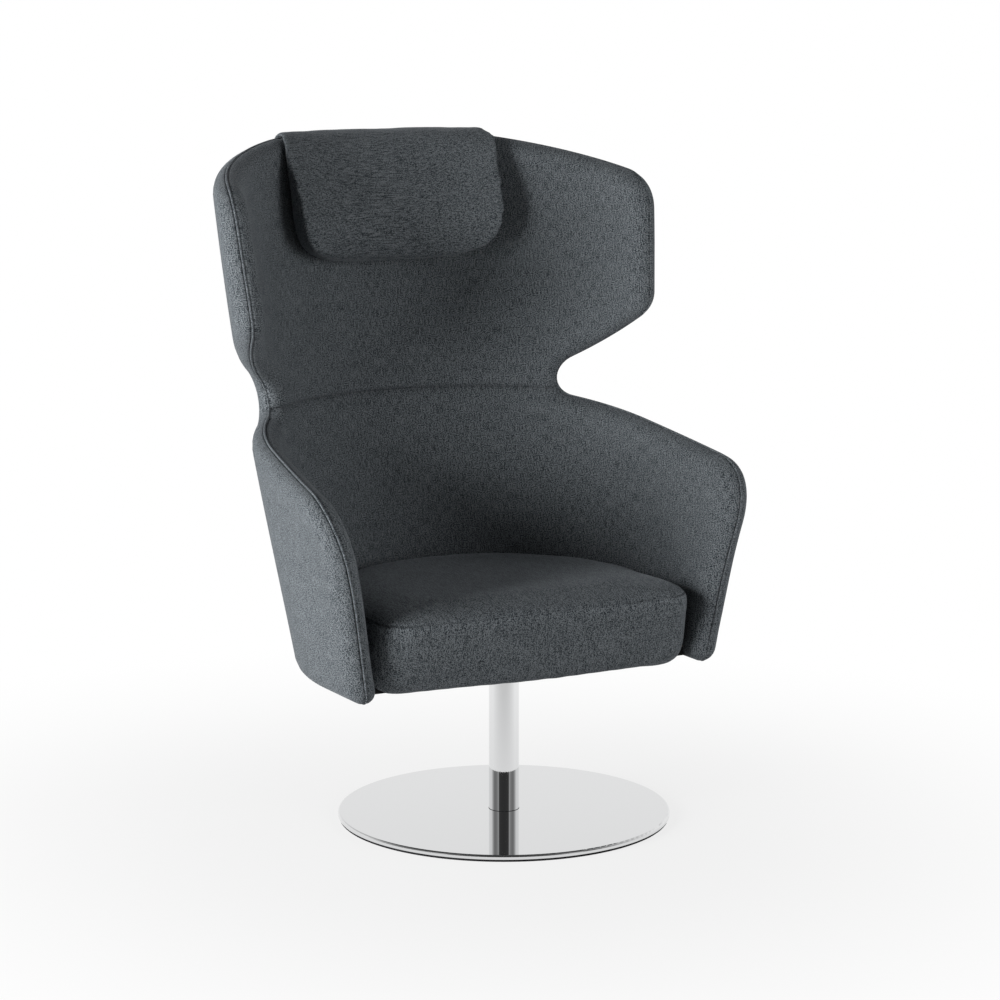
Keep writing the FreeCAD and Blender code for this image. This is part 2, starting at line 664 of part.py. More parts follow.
# Counterweight behind: a rolled steel bar sewn into a pouch at the flap's end
pouch_low = size("pouch_bottom")
pouch_top = pouch_low + size("pouch_height")
pouch_in = flap_out + size("pouch_clearance")
pouch_out = pouch_in + size("pouch_thickness")
bar_in = (pouch_in + pouch_out - size("bar_thickness")) / 2
bar_low = (pouch_low + pouch_top - size("bar_height")) / 2
bar_half = size("bar_half_width")
bar = shell_form(-bar_in - size("bar_thickness")).cut(shell_form(-bar_in))
bar = bar.common(block((-bar_half, 0, bar_low), (bar_half, 2 * far, bar_low + size("bar_height"))))
feature("counterweight_bar", single(bar))
pouch_half = size("pouch_half_width")
pouch = shell_form(-pouch_out).cut(shell_form(-pouch_in))
pouch = pouch.common(block((-pouch_half, 0, pouch_low), (pouch_half, 2 * far, pouch_top))).cut(bar)
feature("counterweight_pouch", single(pouch))

# Every object is sound before any file is written
doc.recompute()
for item in doc.Objects:
    if "Invalid" in item.State or "Error" in item.State:
        raise RuntimeError(f"{item.Label} is {item.State}")
for piece in pieces:
    if piece.Shape.isNull() or not piece.Shape.isValid():
        raise RuntimeError(f"{piece.Label} has no valid shape")

os.makedirs("parts", exist_ok=True)
for piece in pieces:
    piece.Shape.exportStep(f"parts/{piece.Label}.step")
    print(piece.Label, len(piece.Shape.Solids), "solids", round(piece.Shape.Volume / 1000, 1), "cm3")
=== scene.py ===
# A wing chair that swivels on a chromed column and a mirror-polished disc. The shell is covered in a
# blue-grey melange cloth, with a loose seat cushion and a head pillow that hangs over the top edge.
import bmesh
import bpy
import math
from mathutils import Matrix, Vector
from mathutils.kdtree import KDTree
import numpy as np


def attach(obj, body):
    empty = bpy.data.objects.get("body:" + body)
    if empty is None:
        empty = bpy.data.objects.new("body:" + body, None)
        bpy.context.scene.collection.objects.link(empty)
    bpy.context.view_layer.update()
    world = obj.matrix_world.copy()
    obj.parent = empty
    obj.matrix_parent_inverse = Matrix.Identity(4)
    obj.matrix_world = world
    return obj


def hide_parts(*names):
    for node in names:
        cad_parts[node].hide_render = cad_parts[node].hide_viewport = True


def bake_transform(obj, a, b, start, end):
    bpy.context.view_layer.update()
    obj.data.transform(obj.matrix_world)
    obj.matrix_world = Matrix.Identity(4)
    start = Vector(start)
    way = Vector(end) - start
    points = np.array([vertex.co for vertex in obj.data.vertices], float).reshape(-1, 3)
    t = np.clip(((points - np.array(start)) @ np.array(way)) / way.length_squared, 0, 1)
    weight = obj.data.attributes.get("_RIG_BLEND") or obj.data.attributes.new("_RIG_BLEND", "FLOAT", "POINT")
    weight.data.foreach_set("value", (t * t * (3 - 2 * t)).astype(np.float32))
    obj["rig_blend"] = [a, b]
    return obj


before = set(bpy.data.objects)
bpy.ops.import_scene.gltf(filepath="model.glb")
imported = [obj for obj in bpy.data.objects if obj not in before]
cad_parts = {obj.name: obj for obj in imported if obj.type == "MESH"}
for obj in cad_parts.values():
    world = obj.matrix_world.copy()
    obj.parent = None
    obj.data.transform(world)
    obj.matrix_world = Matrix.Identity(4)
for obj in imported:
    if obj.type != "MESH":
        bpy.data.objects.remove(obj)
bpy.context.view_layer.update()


# Floor pad: a thin disc of pressed black felt, glued under the steel so that it doesn't mark the
# floor. Only its edge shows, as a dark line below the disc.
def new_finish(name, sockets):
    """A material whose main shader has the given plain values."""
    finish = bpy.data.materials.new(name)
    finish.use_nodes = True
    shader = finish.node_tree.nodes["Principled BSDF"]
    for socket, value in sockets.items():
        shader.inputs[socket].default_value = value
    return finish, shader


def add_node(finish, kind, inputs, **settings):
    """A shader node with its settings, and with each input set to a value or linked to a socket."""
    made = finish.node_tree.nodes.new(kind)
    for setting, value in settings.items():
        setattr(made, setting, value)
    for socket, value in inputs.items():
        if isinstance(value, bpy.types.NodeSocket):
            finish.node_tree.links.new(value, made.inputs[socket])
        else:
            made.inputs[socket].default_value = value
    return made


def speckle(finish, place, scale, detail, dark, light):
    """Noise and the colour between dark and light that goes with it."""
    noise = add_node(finish, "ShaderNodeTexNoise", {"Vector": place, "Scale": scale, "Detail": detail})
    ramp = add_node(finish, "ShaderNodeValToRGB", {"Fac": noise.outputs["Fac"]})
    ramp.color_ramp.elements[0].position = 0.3
    ramp.color_ramp.elements[1].position = 0.7
    ramp.color_ramp.elements[0].color = (*dark, 1)
    ramp.color_ramp.elements[1].color = (*light, 1)
    return noise.outputs["Fac"], ramp.outputs["Color"]


def raise_grain(finish, shader, height, strength, distance):
    """Fine relief of a surface, too small for its mesh."""
    bump = add_node(finish, "ShaderNodeBump", {"Height": height, "Strength": strength, "Distance": distance})
    finish.node_tree.links.new(bump.outputs["Normal"], shader.inputs["Normal"])


def dress(names, finish):
    """Gives a finish to pieces that keep their CAD shape."""
    for name in names:
        cad_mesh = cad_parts[name].data
        cad_mesh.materials.clear()
        cad_mesh.materials.append(finish)


felt, felt_shader = new_finish("black_felt", {"Roughness": 0.95, "Specular IOR Level": 0.1})
felt_place = add_node(felt, "ShaderNodeTexCoord", {}).outputs["Object"]
felt_grain, felt_colour = speckle(felt, felt_place, 900, 4, (0.006, 0.006, 0.007), (0.022, 0.022, 0.024))
felt.node_tree.links.new(felt_colour, felt_shader.inputs["Base Color"])
raise_grain(felt, felt_shader, felt_grain, 0.6, 0.0006)
dress(["floor_pad"], felt)


# Disc and column: a steel plate and a steel tube, polished and chromed to a mirror. The tube is
# bolted upright on the middle of the disc; faint wiping marks vary the gloss.
chrome, chrome_shader = new_finish("polished_chrome", {"Base Color": (0.80, 0.805, 0.81, 1), "Metallic": 1})
chrome_place = add_node(chrome, "ShaderNodeTexCoord", {}).outputs["Object"]
wiping = add_node(chrome, "ShaderNodeTexNoise", {
    "Vector": chrome_place, "Scale": 9, "Detail": 6, "Roughness": 0.65})
gloss = add_node(chrome, "ShaderNodeMapRange", {
    "Value": wiping.outputs["Fac"], "To Min": 0.015, "To Max": 0.045})
chrome.node_tree.links.new(gloss.outputs["Result"], chrome_shader.inputs["Roughness"])
dress(["base_disc", "column_tube"], chrome)


# Foot shade ring: a thin ring of the same black felt round the tube's foot, on the disc. It is painted shade
# standing for the shadowed gap where tube and disc meet, and shows as a fine dark line round the foot.
FOOT_LEVEL = 0.0112
FOOT_RADIUS = 0.0250
FOOT_CORD = 0.0004
FOOT_STEPS = 96


def closed_cord(name, line, radius, finish):
    """A round cord along a closed line of points, as a mesh."""
    curve = bpy.data.curves.new(name + "_line", "CURVE")
    curve.dimensions = "3D"
    curve.bevel_depth = radius
    curve.bevel_resolution = 2
    spline = curve.splines.new("POLY")
    spline.points.add(len(line) - 1)
    for point, place in zip(spline.points, line):
        point.co = (*place, 1)
    spline.use_cyclic_u = True
    path = bpy.data.objects.new(name + "_path", curve)
    piece = bpy.data.objects.new(name, bpy.data.meshes.new_from_object(path))
    bpy.data.objects.remove(path)
    bpy.context.scene.collection.objects.link(piece)
    for polygon in piece.data.polygons:
        polygon.use_smooth = True
    piece.data.materials.clear()
    piece.data.materials.append(finish)
    return piece


foot_turns = [math.tau * step / FOOT_STEPS for step in range(FOOT_STEPS)]
foot_line = [(FOOT_RADIUS * math.cos(turn), FOOT_RADIUS * math.sin(turn), FOOT_LEVEL) for turn in foot_turns]
foot_gap_shade = closed_cord("foot_gap_shade", foot_line, FOOT_CORD, felt)
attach(foot_gap_shade, "base")


# Swivel works: zinc-plated spindle, clip, plug, bolts, washers, nuts and screws, turned or pressed
# from steel. Turning marks run round the axis. The counterweight bar has the same plating.
zinc, zinc_shader = new_finish("zinc_plated_steel", {"Metallic": 1, "Roughness": 0.34})
zinc_place = add_node(zinc, "ShaderNodeTexCoord", {}).outputs["Object"]
zinc_map = add_node(zinc, "ShaderNodeMapping", {"Vector": zinc_place, "Scale": (40, 40, 900)})
zinc_marks, zinc_colour = speckle(
    zinc, zinc_map.outputs["Vector"], 1, 3, (0.42, 0.43, 0.45), (0.64, 0.65, 0.66))
zinc.node_tree.links.new(zinc_colour, zinc_shader.inputs["Base Color"])
raise_grain(zinc, zinc_shader, zinc_marks, 0.15, 0.0003)
dress([
    "swivel_spindle", "spindle_clip", "column_plug", "base_bolt", "plate_bolts", "plate_washers",
    "pan_nuts", "shell_screws", "counterweight_bar"], zinc)


# Bushes and thrust washer: turned from natural nylon and pressed into the tube. They are off-white,
# waxy and slightly clouded.
nylon, nylon_shader = new_finish("natural_nylon", {"Roughness": 0.42, "Specular IOR Level": 0.45})
nylon_place = add_node(nylon, "ShaderNodeTexCoord", {}).outputs["Object"]
nylon_cloud, nylon_colour = speckle(nylon, nylon_place, 60, 3, (0.70, 0.69, 0.65), (0.83, 0.82, 0.79))
nylon.node_tree.links.new(nylon_colour, nylon_shader.inputs["Base Color"])
raise_grain(nylon, nylon_shader, nylon_cloud, 0.1, 0.0004)
dress(["lower_bush", "upper_bush", "thrust_washer"], nylon)


# Swivel plate: a square of 8 mm steel welded to the spindle and bolted under the seat pan. It has a
# black powder coat with a fine orange-peel skin.
powder, powder_shader = new_finish("black_powder_coat", {"Roughness": 0.5, "Specular IOR Level": 0.45})
powder_place = add_node(powder, "ShaderNodeTexCoord", {}).outputs["Object"]
powder_peel, powder_colour = speckle(
    powder, powder_place, 700, 2, (0.010, 0.010, 0.011), (0.020, 0.020, 0.022))
powder.node_tree.links.new(powder_colour, powder_shader.inputs["Base Color"])
raise_grain(powder, powder_shader, powder_peel, 0.35, 0.0003)
dress(["swivel_plate"], powder)


# Seat pan and shell core: bent and flat beech plywood, glued in layers and left raw because cloth
# covers it. The grain runs front to back.
ply, ply_shader = new_finish("raw_beech_ply", {"Roughness": 0.7, "Specular IOR Level": 0.25})
ply_place = add_node(ply, "ShaderNodeTexCoord", {}).outputs["Object"]
ply_map = add_node(ply, "ShaderNodeMapping", {"Vector": ply_place, "Scale": (90, 6, 600)})
ply_grain, ply_colour = speckle(ply, ply_map.outputs["Vector"], 1, 5, (0.42, 0.28, 0.16), (0.66, 0.50, 0.33))
ply.node_tree.links.new(ply_colour, ply_shader.inputs["Base Color"])
raise_grain(ply, ply_shader, ply_grain, 0.2, 0.0004)
dress(["seat_pan", "shell_core"], ply)


# Outer cover: foam under one piece of melange cloth, pulled round the outside of the shell. It rolls
# over the rim and under the bottom edge, and tucks into the groove beside the piping.

# The wall's middle at five levels: back radius, arc centre and splay of the sides in degrees
WALL_LEVELS = (0.240, 0.450, 0.665, 0.880, 1.130)
WALL_RADII = (0.310, 0.346, 0.360, 0.383, 0.401)
WALL_CENTRES = (0.005, 0.015, 0.081, 0.102, 0.127)
WALL_SPLAYS = (1, 1, 12, 12.3, 14.5)
# The rim's corners seen from the side: depth, height and corner radius
RIM_CORNERS = (
    (-0.1286, 0.249, 0.019), (-0.1595, 0.570, 0.102), (0.377, 0.663, 0.037), (0.152, 0.8085, 0.0415),
    (0.188, 1.030, 0.080), (0.478, 1.099, 0.150))
ARC_STEPS = 40
RIM_STEP = 0.006
CLOTH_STEP = 0.009
HALF_WALL = 0.025
LINING = 0.0015
OUTER_ROLL = 0.028
WAIST = 0.661
WAIST_CLEAR = 0.026
WAIST_GAPS = (0.0015, 0.004, 0.008, 0.014, 0.021)
SEAM_DROP = 0.0016
BOTTOM_BAND = (0.300, 0.265)
# A cover's edge: the tucked rows have a distance inside the rim and a thickness, the rolled ones a distance
TUCK_ROWS = ((0.0075, 0.0008), (0.0046, 0.0011), (0.0028, 0.0021), (0.0021, 0.0034))
ROLL_DEPTHS = (0.0022, 0.0028, 0.0038, 0.0052, 0.0070, 0.0095, 0.0125, 0.0160)


def wall_plan(height):
    """Back radius, arc centre and side splay of the wall's middle, on one curve through the five levels."""
    sums = [0, 0, 0]
    for index, level in enumerate(WALL_LEVELS):
        share = 1
        for other in WALL_LEVELS:
            if other != level:
                share *= (height - other) / (level - other)
        for number, values in enumerate((WALL_RADII, WALL_CENTRES, WALL_SPLAYS)):
            sums[number] += share * values[index]
    return sums[0], sums[1], math.radians(sums[2])


def wall_point(reach, height, out):
    """A point on the wall: cloth length from the back's middle line, height, distance out of its middle."""
    radius, centre, splay = wall_plan(height)
    turn = radius * (math.pi / 2 - splay)
    run = max(reach - turn, 0)
    angle = math.pi / 2 - min(reach, turn) / radius
    across = (radius + out) * math.cos(angle) + run * math.sin(splay)
    depth = centre + (radius + out) * math.sin(angle) - run * math.cos(splay)
    return Vector((across, depth, height))


def wall_reach(depth, height):
    """Cloth length from the back's middle line to a depth on the wall's middle."""
    radius, centre, splay = wall_plan(height)
    touch = centre + radius * math.sin(splay)
    if depth >= touch:
        return radius * math.acos(min((depth - centre) / radius, 1))
    return radius * (math.pi / 2 - splay) + (touch - depth) / math.cos(splay)


def rounded_rim():
    """The rim seen from the side: from the bottom's rear over arm, notch and wing to the crest's rear."""
    rear_low = Vector((sum(wall_plan(RIM_CORNERS[0][1])[:2]), RIM_CORNERS[0][1]))
    rear_high = Vector((sum(wall_plan(RIM_CORNERS[-1][1])[:2]), RIM_CORNERS[-1][1]))
    posts = [rear_low, *(Vector(corner[:2]) for corner in RIM_CORNERS), rear_high]
    path = [rear_low]
    for before, corner, after, (_, _, radius) in zip(posts, posts[1:], posts[2:], RIM_CORNERS):
        back = (before - corner).normalized()
        ahead = (after - corner).normalized()
        half = back.angle(ahead) / 2
        middle = corner + (back + ahead).normalized() * radius / math.sin(half)
        first = (corner + back * radius / math.tan(half) - middle).normalized()
        last = (corner + ahead * radius / math.tan(half) - middle).normalized()
        path += [middle + first.slerp(last, step / ARC_STEPS) * radius for step in range(ARC_STEPS + 1)]
    path.append(rear_high)
    return path


def evenly(path, step):
    """The same path with its points at equal distances, ends kept."""
    lengths = [0]
    for a, b in zip(path, path[1:]):
        lengths.append(lengths[-1] + (b - a).length)
    count = round(lengths[-1] / step)
    made = []
    index = 0
    for number in range(count + 1):
        along = lengths[-1] * number / count
        while index < len(path) - 2 and lengths[index + 1] < along:
            index += 1
        span = lengths[index + 1] - lengths[index]
        made.append(path[index].lerp(path[index + 1], (along - lengths[index]) / span if span else 0))
    return made


rim_side = evenly(rounded_rim(), 0.001)
rim_flat = evenly([Vector((wall_reach(depth, height), height)) for depth, height in rim_side], RIM_STEP)
rim_flat[0].x = 0
rim_flat[-1].x = 0
rim_inward = []
for index in range(len(rim_flat)):
    ahead = rim_flat[min(index + 1, len(rim_flat) - 1)] - rim_flat[max(index - 1, 0)]
    rim_inward.append(Vector((-ahead.y, ahead.x)).normalized())
rim_inward[0] = Vector((0, 1))
rim_inward[-1] = Vector((0, -1))
rim_tree = KDTree(len(rim_flat))
for index, post in enumerate(rim_flat):
    rim_tree.insert((*post, 0), index)
rim_tree.balance()


def rim_distance(reach, height):
    """How far a point of the flat cloth lies inside the rim."""
    _, index, _ = rim_tree.find((reach, height, 0))
    return (Vector((reach, height)) - rim_flat[index]).dot(rim_inward[index])


def inside_rim(reach, height):
    """Whether a point of the flat cloth lies inside the rim, from how often a line to it crosses the rim."""
    crossings = 0
    for a, b in zip(rim_flat, rim_flat[1:]):
        if (a.y > height) != (b.y > height):
            if reach < a.x + (b.x - a.x) * (height - a.y) / (b.y - a.y):
                crossings += 1
    return crossings % 2 == 1


def ease(value, start, end):
    """A smooth share from 0 to 1 as a value goes from start to end."""
    share = min(max((value - start) / (end - start), 0), 1)
    return share * share * (3 - 2 * share)


def seam_relief(height):
    """How much further the covers reach at the bottom edge, so that the core stays hidden there."""
    return SEAM_DROP * ease(height, *BOTTOM_BAND)


def roll(depth, reach_in):
    """Padding thickness at a distance inside the rim: a quarter ellipse below the piping, then level."""
    share = min(max((depth - SEAM_DROP) / reach_in, 0), 1)
    return HALF_WALL * math.sqrt(1 - (1 - share) ** 2)


def roll_slack(depth, reach_in):
    """Cloth that the roll takes up between a point inside the rim and the level part."""
    left = 1 - min(max((depth - SEAM_DROP) / reach_in, 0), 1)
    return (reach_in + HALF_WALL) / 2 * math.asin(left) - reach_in * left


def flat_cover(reach_in):
    """Half a cover laid flat: a rolled strip along the rim, a grid inside it and filling between them."""
    strip = [*TUCK_ROWS, *((depth, roll(depth, reach_in)) for depth in ROLL_DEPTHS)]
    cover = bmesh.new()
    out = cover.verts.layers.float.new("out")
    warp = cover.verts.layers.float.new("warp")
    weft = cover.verts.layers.float.new("weft")
    posts = len(rim_flat)
    bmesh.ops.create_grid(cover, x_segments=posts - 1, y_segments=len(strip) - 1, size=1)
    row_of = {}
    for vert in cover.verts:
        index = round((vert.co.x + 1) / 2 * (posts - 1))
        row = round((vert.co.y + 1) / 2 * (len(strip) - 1))
        depth, vert[out] = strip[row]
        at_depth = depth - seam_relief(rim_flat[index].y)
        vert.co = (*(rim_flat[index] + rim_inward[index] * at_depth), 0)
        cloth_depth = at_depth - roll_slack(depth, reach_in)
        vert[warp], vert[weft] = rim_flat[index] + rim_inward[index] * cloth_depth
        row_of[vert] = row
    last_row = len(strip) - 1
    strip_edges = [e for e in cover.edges if all(row_of[v] == last_row for v in e.verts)]
    widest = max(post.x for post in rim_flat)
    low = rim_flat[0].y
    high = max(post.y for post in rim_flat)
    columns = round(widest / CLOTH_STEP)
    levels = [low + CLOTH_STEP * n for n in range(int((high - low) / CLOTH_STEP) + 1)]
    levels = [z for z in levels if abs(z - WAIST) > WAIST_CLEAR]
    levels += [WAIST + side * gap for side in (-1, 1) for gap in WAIST_GAPS]
    levels.sort()
    grid = bmesh.ops.create_grid(cover, x_segments=columns, y_segments=len(levels) - 1, size=1)["verts"]
    spare = []
    for vert in grid:
        column = round((vert.co.x + 1) / 2 * columns)
        row = round((vert.co.y + 1) / 2 * (len(levels) - 1))
        vert.co = (widest * column / columns, levels[row], 0)
        depth = rim_distance(vert.co.x, vert.co.y) + seam_relief(vert.co.y)
        vert[out] = roll(depth, reach_in)
        _, index, near = rim_tree.find((vert.co.x, vert.co.y, 0))
        vert[warp], vert[weft] = vert.co.xy - rim_inward[index] * roll_slack(depth, reach_in)
        if near < strip[-1][0] + 0.6 * CLOTH_STEP or not inside_rim(vert.co.x + 1e-6, vert.co.y):
            spare.append(vert)
    bmesh.ops.delete(cover, geom=spare, context="VERTS")
    bmesh.ops.delete(cover, geom=[v for v in cover.verts if not v.link_faces], context="VERTS")
    strip_edges = [e for e in strip_edges if e.is_valid]
    on_strip = {v for e in strip_edges for v in e.verts}
    middle = sorted((v for v in cover.verts if abs(v.co.x) < 1e-7), key=lambda v: v.co.y)
    inner_middle = [v for v in middle if v not in row_of]
    strip_ends = sorted((v for v in on_strip if abs(v.co.x) < 1e-7), key=lambda v: v.co.y)
    ends = ((strip_ends[0], inner_middle[0]), (inner_middle[-1], strip_ends[-1]))
    links = [cover.edges.new(pair) for pair in ends]
    grid_edges = [e for e in cover.edges if e.is_boundary and not any(v in row_of for v in e.verts)
                  and max(abs(v.co.x) for v in e.verts) > 1e-7]
    bmesh.ops.triangle_fill(cover, edges=strip_edges + grid_edges + links, use_beauty=True)
    return cover, out


def hang_cover(cover, out, side, name, sink):
    """Wraps half a flat cover on one side of the wall, mirrors it, and makes it a closed piece of cloth."""
    warp = cover.verts.layers.float["warp"]
    weft = cover.verts.layers.float["weft"]
    for vert in cover.verts:
        reach, height = vert.co.x, vert.co.y
        vert.co = wall_point(reach, height, side * (vert[out] - sink(height)))
    bmesh.ops.mirror(cover, geom=cover.verts[:] + cover.edges[:] + cover.faces[:], axis="X", merge_dist=1e-6)
    bmesh.ops.remove_doubles(cover, verts=cover.verts[:], dist=1e-6)
    bmesh.ops.recalc_face_normals(cover, faces=cover.faces[:])
    probe = max(cover.faces, key=lambda face: face.calc_center_median().y)
    if probe.normal.y * side < 0:
        bmesh.ops.reverse_faces(cover, faces=cover.faces[:])
    uv = cover.loops.layers.uv.new("cloth")
    for face in cover.faces:
        face.smooth = True
        hand = math.copysign(1, face.calc_center_median().x)
        for loop in face.loops:
            loop[uv].uv = (hand * loop.vert[warp], loop.vert[weft])
    mesh = bpy.data.meshes.new(name)
    cover.to_mesh(mesh)
    cover.free()
    piece = bpy.data.objects.new(name, mesh)
    bpy.context.scene.collection.objects.link(piece)
    lining = piece.modifiers.new("lining", "SOLIDIFY")
    lining.thickness = LINING
    lining.offset = -1
    return piece


def melange(name, slub_scale, on_cloth, fleck_scale, fleck_share):
    """Blue-grey wool melange: mixed light and dark yarn, long slubs one way, fine flecks and a soft nap."""
    cloth, shader = new_finish(name, {
        "Roughness": 0.92, "Specular IOR Level": 0.16, "Sheen Weight": 0.14, "Sheen Roughness": 0.4,
        "Sheen Tint": (0.78, 0.84, 0.9, 1)})
    place = add_node(cloth, "ShaderNodeTexCoord", {}).outputs["UV" if on_cloth else "Object"]
    slub_map = add_node(cloth, "ShaderNodeMapping", {"Vector": place, "Scale": slub_scale})
    slub = add_node(cloth, "ShaderNodeTexNoise", {
        "Vector": slub_map.outputs["Vector"], "Scale": 1, "Detail": 2, "Roughness": 0.5})
    fleck = add_node(cloth, "ShaderNodeTexNoise", {
        "Vector": place, "Scale": fleck_scale, "Detail": 1, "Roughness": 0.5})
    cloudy = add_node(cloth, "ShaderNodeTexNoise", {"Vector": place, "Scale": 16, "Detail": 3})
    yarn = add_node(cloth, "ShaderNodeMix", {
        "Factor": fleck_share, "A": slub.outputs["Fac"], "B": fleck.outputs["Fac"]})
    mixed = add_node(cloth, "ShaderNodeMix", {
        "Factor": 0.04, "A": yarn.outputs["Result"], "B": cloudy.outputs["Fac"]})
    ramp = add_node(cloth, "ShaderNodeValToRGB", {"Fac": mixed.outputs["Result"]})
    ramp.color_ramp.elements[0].position = 0.42
    ramp.color_ramp.elements[1].position = 0.58
    ramp.color_ramp.elements[0].color = (0.016, 0.020, 0.024, 1)
    ramp.color_ramp.elements[1].color = (0.150, 0.164, 0.175, 1)
    cloth.node_tree.links.new(ramp.outputs["Color"], shader.inputs["Base Color"])
    raise_grain(cloth, shader, yarn.outputs["Result"], 0.1, 0.0008)
    return cloth


shell_cloth = melange(
    "shell_melange", slub_scale=(720, 60, 1), on_cloth=True, fleck_scale=520, fleck_share=0.64)
outer_flat, outer_out = flat_cover(OUTER_ROLL)
outer_cover = hang_cover(outer_flat, outer_out, 1, "outer_cover", lambda height: 0)
outer_cover.data.materials.append(shell_cloth)
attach(outer_cover, "seat")
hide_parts("outer_upholstery")


# Inner covers: two padded panels, the back above and the arms with the lumbar part below. They are
# sewn to each other across the waist, where the seam pulls the cloth in, and roll outwards at the rim.
INNER_ROLL = 0.026
HOLLOW_DEPTH = 0.0022
HOLLOW_WIDTH = 0.016
GROOVE_DEPTH = 0.0058
GROOVE_WIDTH = 0.0035


def waist_sink(height):
    """How far the waist seam pulls the cloth in: a wide hollow with a narrow groove in it."""
    gap = abs(height - WAIST)
    hollow = HOLLOW_DEPTH * math.exp(-(gap / HOLLOW_WIDTH) ** 2)
    return hollow + GROOVE_DEPTH * math.exp(-(gap / GROOVE_WIDTH) ** 2)


for name, node, keep_above in (
        ("inner_back_cover", "inner_back_panel", True), ("inner_arm_cover", "inner_arm_panel", False)):
    panel_flat, panel_out = flat_cover(INNER_ROLL)
    bmesh.ops.bisect_plane(
        panel_flat, geom=panel_flat.verts[:] + panel_flat.edges[:] + panel_flat.faces[:],
        plane_co=(0, WAIST, 0), plane_no=(0, 1, 0), clear_inner=keep_above, clear_outer=not keep_above)
    panel = hang_cover(panel_flat, panel_out, -1, name, waist_sink)
    panel.data.materials.append(shell_cloth)
    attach(panel, "seat")
    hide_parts(node)


# Rim piping: a thin cord in a sleeve of the same cloth, sewn between the two covers all round the
# rim. It shows as a fine line with a dark groove on each side.
PIPING_SINK = 0.0012
PIPING_RADIUS = 0.0021
piping_cloth = melange(
    "piping_melange", slub_scale=(500, 500, 500), on_cloth=False, fleck_scale=700, fleck_share=0.7)
piping_flat = [post + inward * PIPING_SINK for post, inward in zip(rim_flat, rim_inward)]
piping_line = [wall_point(max(place.x, 0), place.y, 0) for place in piping_flat]
piping_line += [Vector((-point.x, point.y, point.z)) for point in piping_line[-2:0:-1]]
piping = closed_cord("rim_cord", piping_line, PIPING_RADIUS, piping_cloth)
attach(piping, "seat")
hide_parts("rim_piping")


# Dust cloth: black spunbond stretched under the pan and stapled, with an opening for the swivel
# plate. Its front edge is turned up over the pan's edge.
CLOTH_LEVEL = 0.2555
PAN_FRONT = -0.0858
PLATE_OPENING = 0.084
TURN_UP = 0.0145
CLOTH_INSET = 0.010
CLOTH_THICKNESS = 0.0008
DUST_STEPS = 48
dust = bmesh.new()
dust_edge = []
for step in range(DUST_STEPS + 1):
    reach = wall_reach(PAN_FRONT, CLOTH_LEVEL) * (2 * step / DUST_STEPS - 1)
    place = wall_point(abs(reach), CLOTH_LEVEL, -CLOTH_INSET)
    dust_edge.append(dust.verts.new((math.copysign(place.x, reach), place.y, CLOTH_LEVEL)))
hole_edge = [dust.verts.new((x * PLATE_OPENING, y * PLATE_OPENING, CLOTH_LEVEL)) for x, y in
             ((-1, -1), (1, -1), (1, 1), (-1, 1))]
dust_lines = []
for loop in (dust_edge, hole_edge):
    for a, b in zip(loop, loop[1:] + loop[:1]):
        dust_lines.append(dust.edges.new((a, b)))
bmesh.ops.triangle_fill(dust, edges=dust_lines, use_beauty=True)
bmesh.ops.subdivide_edges(dust, edges=dust.edges[:], cuts=3, use_grid_fill=True)
front_edges = [e for e in dust.edges if e.is_boundary and all(v.co.y < PAN_FRONT + 0.001 for v in e.verts)]
turned_up = bmesh.ops.extrude_edge_only(dust, edges=front_edges)["geom"]
for vert in turned_up:
    if isinstance(vert, bmesh.types.BMVert):
        vert.co.z += TURN_UP
bmesh.ops.recalc_face_normals(dust, faces=dust.faces[:])
dust_area = sum(face.calc_area() for face in dust.faces)
dust_mesh = bpy.data.meshes.new("dust_cloth")
dust.to_mesh(dust_mesh)
dust_size = [max(v.co[axis] for v in dust.verts) - min(v.co[axis] for v in dust.verts) for axis in (0, 1)]
dust_size[1] += TURN_UP
dust.free()
dust_cloth = bpy.data.objects.new("dust_cloth", dust_mesh)
bpy.context.scene.collection.objects.link(dust_cloth)
dust_thickness = dust_cloth.modifiers.new("thickness", "SOLIDIFY")
dust_thickness.thickness = CLOTH_THICKNESS
dust_thickness.offset = 0
spunbond, spunbond_shader = new_finish("black_spunbond", {"Roughness": 0.9, "Specular IOR Level": 0.15})
spunbond_place = add_node(spunbond, "ShaderNodeTexCoord", {}).outputs["Object"]
spunbond_grain, spunbond_colour = speckle(
    spunbond, spunbond_place, 420, 3, (0.006, 0.006, 0.006), (0.018, 0.018, 0.019))
spunbond.node_tree.links.new(spunbond_colour, spunbond_shader.inputs["Base Color"])
raise_grain(spunbond, spunbond_shader, spunbond_grain, 0.4, 0.0004)
dust_cloth.data.materials.append(spunbond)
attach(dust_cloth, "seat")
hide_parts("dust_cover")


# Seat cushion: a loose foam block in a sewn cover, with a leaning front, a seam round the top edge
# and a crowned top. It swells a little over the foam and is flat where it lies on the pan.
FILL_FRAMES = 20
SEAT_SEAM = 0.372
SEAT_FRONT = -0.083
PAN_TOP = 0.2712
SIDE_WIDER = 0.005
SIDE_BAND = (0.16, 0.27)
FOOT_WIDER = 0.011
FOOT_BAND = (0.365, 0.285)
FRONT_DROP = 0.0085
LEFT_SLOPE = 0.018
RIGHT_SLOPE = 0.012
DROP_BAND = (0.310, 0.258)


def soften(body, passes):
    """Smooths a whole mesh a few times."""
    for _ in range(passes):
        bmesh.ops.smooth_vert(
            body, verts=body.verts[:], factor=0.5, use_axis_x=True, use_axis_y=True, use_axis_z=True)


